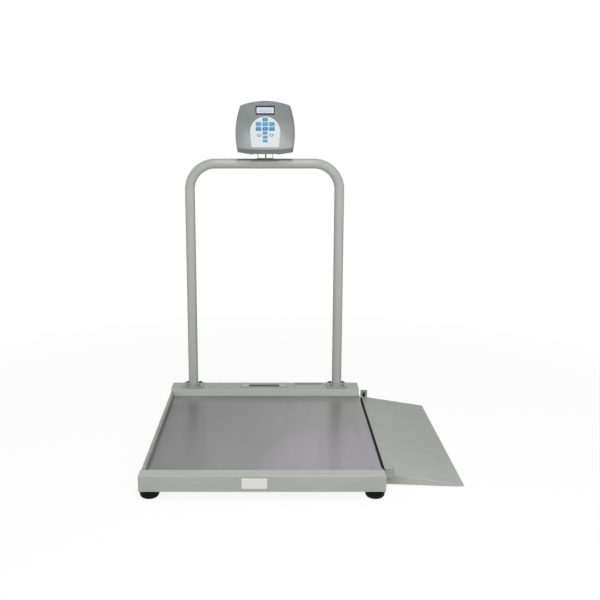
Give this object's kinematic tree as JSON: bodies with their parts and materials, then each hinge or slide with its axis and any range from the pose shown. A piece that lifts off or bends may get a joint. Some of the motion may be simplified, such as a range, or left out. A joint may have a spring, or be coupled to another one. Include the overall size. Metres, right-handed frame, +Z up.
{
  "type": "wheelchair ramp scale",
  "caption": "Low weighing platform on levelling feet with a fold-up side ramp, a rear tube handrail and a tilting keypad readout head.",
  "frame": {"origin": "on the floor, under the middle of the whole footprint with the ramp down", "axes": "+X across the platform towards the ramp, +Y from the front edge to the handrail, +Z up"},
  "size_m": [1.026, 0.9434, 1.2235],
  "materials": {
    "grey_paint": "warm light grey powder coat, satin, fine orange peel",
    "plate_steel": "bare steel sheet under the mat",
    "deck_mat": "smooth satin grey sheet with a soft sheen",
    "cell_steel": "nickel-plated machined steel",
    "box_aluminium": "cast aluminium, dull",
    "dark_steel": "black-oxide steel fastener, slightly worn",
    "foot_rubber": "matt black moulded rubber over a steel stud",
    "cable_jacket": "smooth dark grey cable jacket",
    "head_plastic": "fine textured grey moulded plastic",
    "window_lens": "glossy navy window frame round a pale screen",
    "display_screen": "pale blue-white reflective display",
    "keypad_film": "white printed keypad film, satin",
    "key_film": "teal-blue domed key, satin",
    "circuit_board": "green glass-fibre board"
  },
  "bodies": {
    "base": {"front_rail": "grey_paint", "rear_housing": "grey_paint", "left_side_guard": "grey_paint", "right_side_member": "grey_paint", "deck_plate": "plate_steel", "deck_mat": "deck_mat", "deck_stringer_left": "grey_paint", "deck_stringer_right": "grey_paint", "load_cell_front_left": "cell_steel", "load_cell_front_right": "cell_steel", "load_cell_rear_left": "cell_steel", "load_cell_rear_right": "cell_steel", "junction_box": "box_aluminium", "junction_box_lid": "box_aluminium", "handrail_tube": "grey_paint", "handrail_flange_left": "grey_paint", "handrail_flange_right": "grey_paint", "flange_bolt_left_1": "dark_steel", "flange_bolt_left_2": "dark_steel", "flange_bolt_left_3": "dark_steel", "flange_bolt_left_4": "dark_steel", "flange_bolt_right_1": "dark_steel", "flange_bolt_right_2": "dark_steel", "flange_bolt_right_3": "dark_steel", "flange_bolt_right_4": "dark_steel", "hinge_bracket_front": "grey_paint", "hinge_bracket_rear": "grey_paint", "hinge_pin_front": "dark_steel", "hinge_pin_rear": "dark_steel", "indicator_bracket": "grey_paint", "tilt_pin": "cell_steel", "signal_cable": "cable_jacket"},
    "ramp": {"ramp_plate": "grey_paint", "ramp_back_flange": "grey_paint", "ramp_side_front": "grey_paint", "ramp_side_rear": "grey_paint", "ramp_rib": "grey_paint"},
    "indicator": {"indicator_front_shell": "head_plastic", "indicator_rear_shell": "head_plastic", "display_window": "window_lens", "display_module": "display_screen", "keypad_overlay": "keypad_film", "circuit_board": "circuit_board"},
    "foot_front_left_body": {"foot_front_left": "foot_rubber"},
    "foot_front_right_body": {"foot_front_right": "foot_rubber"},
    "foot_rear_left_body": {"foot_rear_left": "foot_rubber"},
    "foot_rear_right_body": {"foot_rear_right": "foot_rubber"},
    "key_top_body": {"key_top": "key_film"},
    "key_upper_left_body": {"key_upper_left": "key_film"},
    "key_upper_centre_body": {"key_upper_centre": "key_film"},
    "key_upper_right_body": {"key_upper_right": "key_film"},
    "key_lower_left_body": {"key_lower_left": "key_film"},
    "key_lower_centre_body": {"key_lower_centre": "key_film"},
    "key_lower_right_body": {"key_lower_right": "key_film"},
    "key_small_upper_body": {"key_small_upper": "key_film"},
    "key_small_middle_body": {"key_small_middle": "key_film"},
    "key_small_lower_body": {"key_small_lower": "key_film"},
    "key_oval_left_body": {"key_oval_left": "key_film"},
    "key_oval_right_body": {"key_oval_right": "key_film"}
  },
  "joints": [
    {"name": "ramp_fold", "type": "hinge", "parent": "base", "child": "ramp", "pos_m": [0.27275, 0.03825, 0.056], "axis": [0, -1, 0], "range_deg": [0, 100]},
    {"name": "indicator_tilt", "type": "hinge", "parent": "base", "child": "indicator", "pos_m": [-0.129, 0.42675, 1.034], "axis": [-1, 0, 0], "range_deg": [-20, 20]},
    {"name": "foot_front_left_level", "type": "slide", "parent": "base", "child": "foot_front_left_body", "axis": [0, 0, 1], "range_m": [-0.01, 0]},
    {"name": "foot_front_right_level", "type": "slide", "parent": "base", "child": "foot_front_right_body", "axis": [0, 0, 1], "range_m": [-0.01, 0]},
    {"name": "foot_rear_left_level", "type": "slide", "parent": "base", "child": "foot_rear_left_body", "axis": [0, 0, 1], "range_m": [-0.01, 0]},
    {"name": "foot_rear_right_level", "type": "slide", "parent": "base", "child": "foot_rear_right_body", "axis": [0, 0, 1], "range_m": [-0.01, 0]},
    {"name": "key_top_press", "type": "slide", "parent": "indicator", "child": "key_top_body", "axis": [0, 1, 0], "range_m": [0, 0.0005], "stiffness_N_per_m": 1500},
    {"name": "key_upper_left_press", "type": "slide", "parent": "indicator", "child": "key_upper_left_body", "axis": [0, 1, 0], "range_m": [0, 0.0005], "stiffness_N_per_m": 1500},
    {"name": "key_upper_centre_press", "type": "slide", "parent": "indicator", "child": "key_upper_centre_body", "axis": [0, 1, 0], "range_m": [0, 0.0005], "stiffness_N_per_m": 1500},
    {"name": "key_upper_right_press", "type": "slide", "parent": "indicator", "child": "key_upper_right_body", "axis": [0, 1, 0], "range_m": [0, 0.0005], "stiffness_N_per_m": 1500},
    {"name": "key_lower_left_press", "type": "slide", "parent": "indicator", "child": "key_lower_left_body", "axis": [0, 1, 0], "range_m": [0, 0.0005], "stiffness_N_per_m": 1500},
    {"name": "key_lower_centre_press", "type": "slide", "parent": "indicator", "child": "key_lower_centre_body", "axis": [0, 1, 0], "range_m": [0, 0.0005], "stiffness_N_per_m": 1500},
    {"name": "key_lower_right_press", "type": "slide", "parent": "indicator", "child": "key_lower_right_body", "axis": [0, 1, 0], "range_m": [0, 0.0005], "stiffness_N_per_m": 1500},
    {"name": "key_small_upper_press", "type": "slide", "parent": "indicator", "child": "key_small_upper_body", "axis": [0, 1, 0], "range_m": [0, 0.0005], "stiffness_N_per_m": 1500},
    {"name": "key_small_middle_press", "type": "slide", "parent": "indicator", "child": "key_small_middle_body", "axis": [0, 1, 0], "range_m": [0, 0.0005], "stiffness_N_per_m": 1500},
    {"name": "key_small_lower_press", "type": "slide", "parent": "indicator", "child": "key_small_lower_body", "axis": [0, 1, 0], "range_m": [0, 0.0005], "stiffness_N_per_m": 1500},
    {"name": "key_oval_left_press", "type": "slide", "parent": "indicator", "child": "key_oval_left_body", "axis": [0, 1, 0], "range_m": [0, 0.0005], "stiffness_N_per_m": 1500},
    {"name": "key_oval_right_press", "type": "slide", "parent": "indicator", "child": "key_oval_right_body", "axis": [0, 1, 0], "range_m": [0, 0.0005], "stiffness_N_per_m": 1500}
  ]
}
